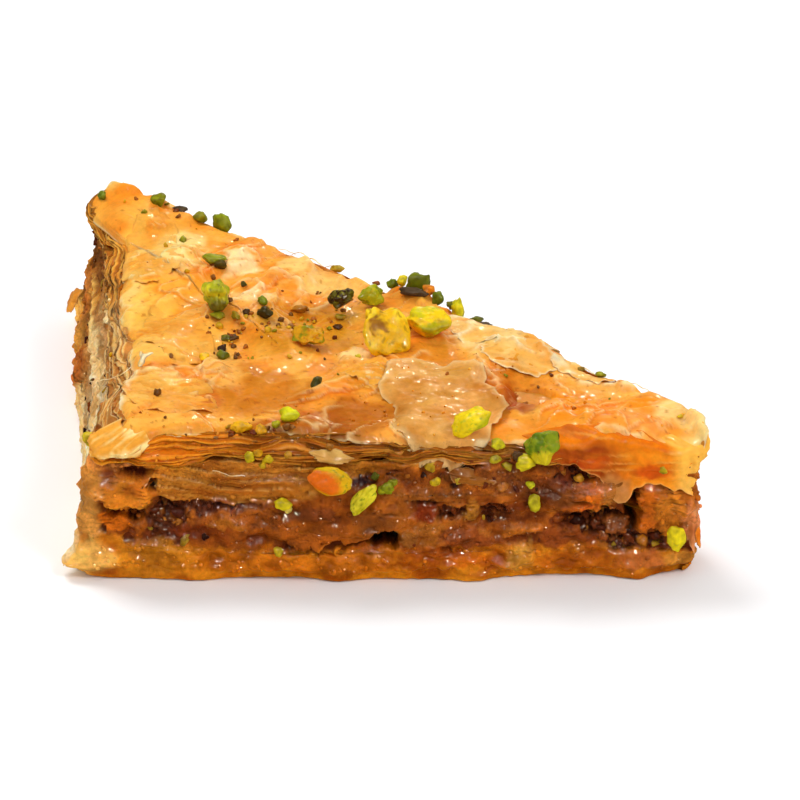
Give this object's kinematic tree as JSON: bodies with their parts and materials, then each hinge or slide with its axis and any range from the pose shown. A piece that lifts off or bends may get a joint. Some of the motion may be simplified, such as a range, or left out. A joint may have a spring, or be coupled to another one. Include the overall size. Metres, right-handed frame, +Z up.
{
  "type": "baklava piece",
  "caption": "Triangular piece of baklava: stacked crisp phyllo sheets soaked in syrup, layers of chopped nuts between them, and bits of pistachio scattered over the top and the front cut.",
  "frame": {"origin": "middle of the underside of the bounding box, on the surface the piece rests on", "axes": "+X along the long front cut, from the right-angled corner to the right tip; +Y away from the front cut, along the left cut; +Z up"},
  "size_m": [0.0884, 0.083, 0.0247],
  "materials": {
    "soaked_phyllo": "glossy with syrup",
    "nut_filling": "sticky and granular",
    "golden_phyllo": "crisp, flaky and partly glossy",
    "pistachio": "satin"
  },
  "bodies": {
    "root": {"phyllo_base": "soaked_phyllo", "nuts_lower": "nut_filling", "phyllo_middle": "soaked_phyllo", "nuts_upper": "nut_filling", "phyllo_top": "golden_phyllo", "pistachio_big_green": "pistachio", "pistachio_dark": "pistachio", "pistachio_round_green": "pistachio", "pistachio_yellow": "pistachio", "pistachio_olive": "pistachio", "pistachio_crumbled": "pistachio", "pistachio_edge_yellow": "pistachio", "pistachio_orange": "pistachio", "pistachio_sliver": "pistachio", "pistachio_edge_green": "pistachio"}
  },
  "joints": []
}
